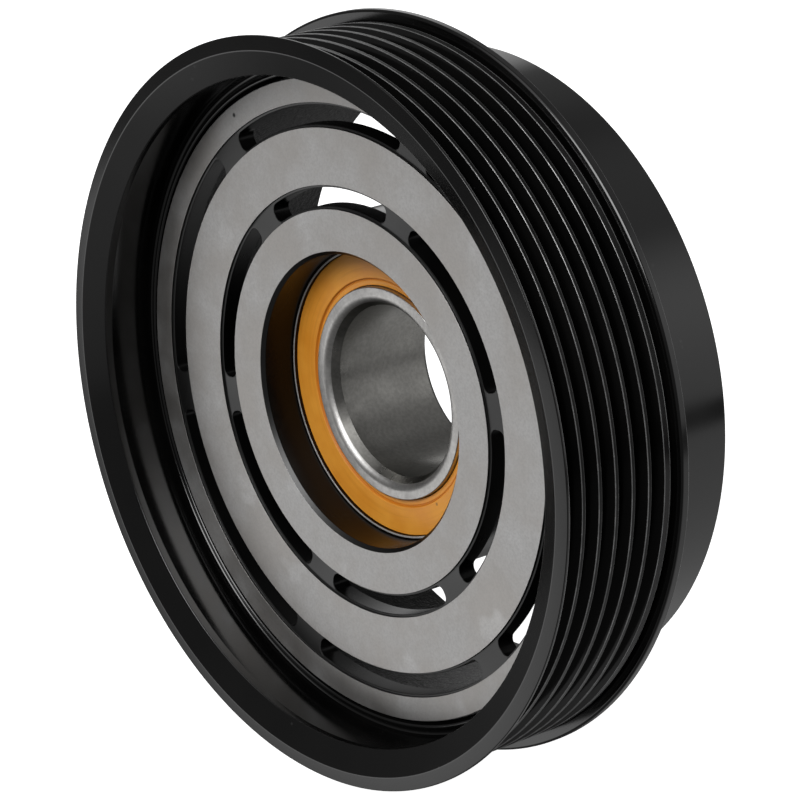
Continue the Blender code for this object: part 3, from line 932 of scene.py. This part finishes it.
FLOOR_SIZE = 8.0
FLOOR_GAP = 0.2 * MM
BASE_GLOW = 0.12
PANELS = (                      # middle of a panel of light, where it starts and ends to fade, glow
    ((0.78, 0.60, 0.15), 10.0, 36.0, 0.5),
    ((0.45, 0.62, 0.64), 14.0, 44.0, 0.22),
    ((-0.50, 0.58, 0.64), 8.0, 24.0, 0.12),
    ((-0.78, 0.60, 0.22), 8.0, 22.0, 0.75),
    ((0.55, 0.60, -0.55), 30.0, 66.0, 0.46),
    ((-0.72, -0.62, -0.33), 6.0, 27.0, 1.0),
    ((-0.42, -0.80, -0.42), 10.0, 30.0, 0.2),
    ((0.05, -0.62, 0.78), 12.0, 42.0, 0.8),
)
CAMERA_PLACE = (0.49685, -0.43088, 0.24416)
CAMERA_TURN = (radians(69.344), 0.0, radians(49.606))
CAMERA_LENS = 185.02


def make_floor():
    mesh = bpy.data.meshes.new("floor")
    form = bmesh.new()
    bmesh.ops.create_grid(form, x_segments=1, y_segments=1, size=FLOOR_SIZE / 2)
    form.to_mesh(mesh)
    form.free()
    floor = bpy.data.objects.new("floor", mesh)
    floor.location = (0.0, 0.0, cad_low.z - FLOOR_GAP)
    bpy.context.scene.collection.objects.link(floor)
    made = bpy.data.materials.new("pale_floor")
    made.use_nodes = True
    shader = made.node_tree.nodes["Principled BSDF"]
    shader.inputs["Base Color"].default_value = (0.86, 0.86, 0.86, 1.0)
    shader.inputs["Roughness"].default_value = 0.9
    shader.inputs["Specular IOR Level"].default_value = 0.1
    shader.inputs["Emission Color"].default_value = (1.0, 1.0, 1.0, 1.0)
    shader.inputs["Emission Strength"].default_value = 1.0
    mesh.materials.append(made)
    floor.visible_glossy = False
    floor.visible_diffuse = False


def soft_box(name, place, size, power, aim=(0.0, 0.0, 0.0)):
    light = bpy.data.lights.new(name, "AREA")
    light.shape = "RECTANGLE"
    light.size, light.size_y = size
    light.energy = power
    box = bpy.data.objects.new(name, light)
    box.location = place
    box.rotation_mode = "QUATERNION"
    box.rotation_quaternion = (Vector(aim) - Vector(place)).to_track_quat("-Z", "Y")
    bpy.context.scene.collection.objects.link(box)
    return box


def make_world():
    """Soft tent: a dim base with a few wide panels of light, each fading out round its middle."""
    world = bpy.data.worlds.new("studio_tent")
    world.use_nodes = True
    tree = world.node_tree
    way = tree.nodes.new("ShaderNodeTexCoord").outputs["Generated"]

    def fade(value, low, high, strength):
        node = tree.nodes.new("ShaderNodeMapRange")
        node.interpolation_type = "SMOOTHSTEP"
        for socket, number in zip(node.inputs, (None, low, high, 0.0, strength)):
            if number is not None:
                socket.default_value = number
        tree.links.new(value, node.inputs[0])
        return node.outputs[0]

    def combine(operation, first, second):
        node = tree.nodes.new("ShaderNodeMath")
        node.operation = operation
        for socket, value in zip(node.inputs, (first, second)):
            if isinstance(value, float):
                socket.default_value = value
            else:
                tree.links.new(value, socket)
        return node.outputs[0]

    height = tree.nodes.new("ShaderNodeSeparateXYZ")
    tree.links.new(way, height.inputs[0])
    above = fade(height.outputs["Z"], -0.14, -0.09, 1.0)
    below = fade(height.outputs["Z"], -0.20, -0.26, 1.0)
    glow = BASE_GLOW
    for direction, inner, outer, strength in PANELS:
        along = tree.nodes.new("ShaderNodeVectorMath")
        along.operation = "DOT_PRODUCT"
        tree.links.new(way, along.inputs[0])
        along.inputs[1].default_value = Vector(direction).normalized()
        spot = fade(along.outputs["Value"], cos(radians(outer)), cos(radians(inner)), strength)
        spot = combine("MULTIPLY", spot, above if direction[2] > 0 else below)
        glow = combine("ADD", glow, spot)
    tree.links.new(glow, tree.nodes["Background"].inputs["Strength"])
    tree.nodes["Background"].inputs["Color"].default_value = (1.0, 1.0, 1.0, 1.0)
    bpy.context.scene.world = world


def make_camera():
    lens = bpy.data.cameras.new("camera")
    lens.lens = CAMERA_LENS
    lens.sensor_width = 36.0
    lens.clip_start = 0.05
    lens.clip_end = 20.0
    camera = bpy.data.objects.new("camera", lens)
    camera.location = CAMERA_PLACE
    camera.rotation_euler = Euler(CAMERA_TURN)
    bpy.context.scene.collection.objects.link(camera)
    bpy.context.scene.camera = camera


make_pulley_ring()
make_rotor()
make_bearing_rings()
for label, side in (("front", -1), ("rear", 1)):
    make_seal(label, side)
    make_seal_core(label, side)
    make_cage(label, side)
    make_balls(label, side)

make_floor()
make_world()
soft_box("key", (0.28, -0.82, 0.66), (0.9, 0.45), 7.0)
make_camera()
bpy.context.scene.view_settings.view_transform = "Standard"
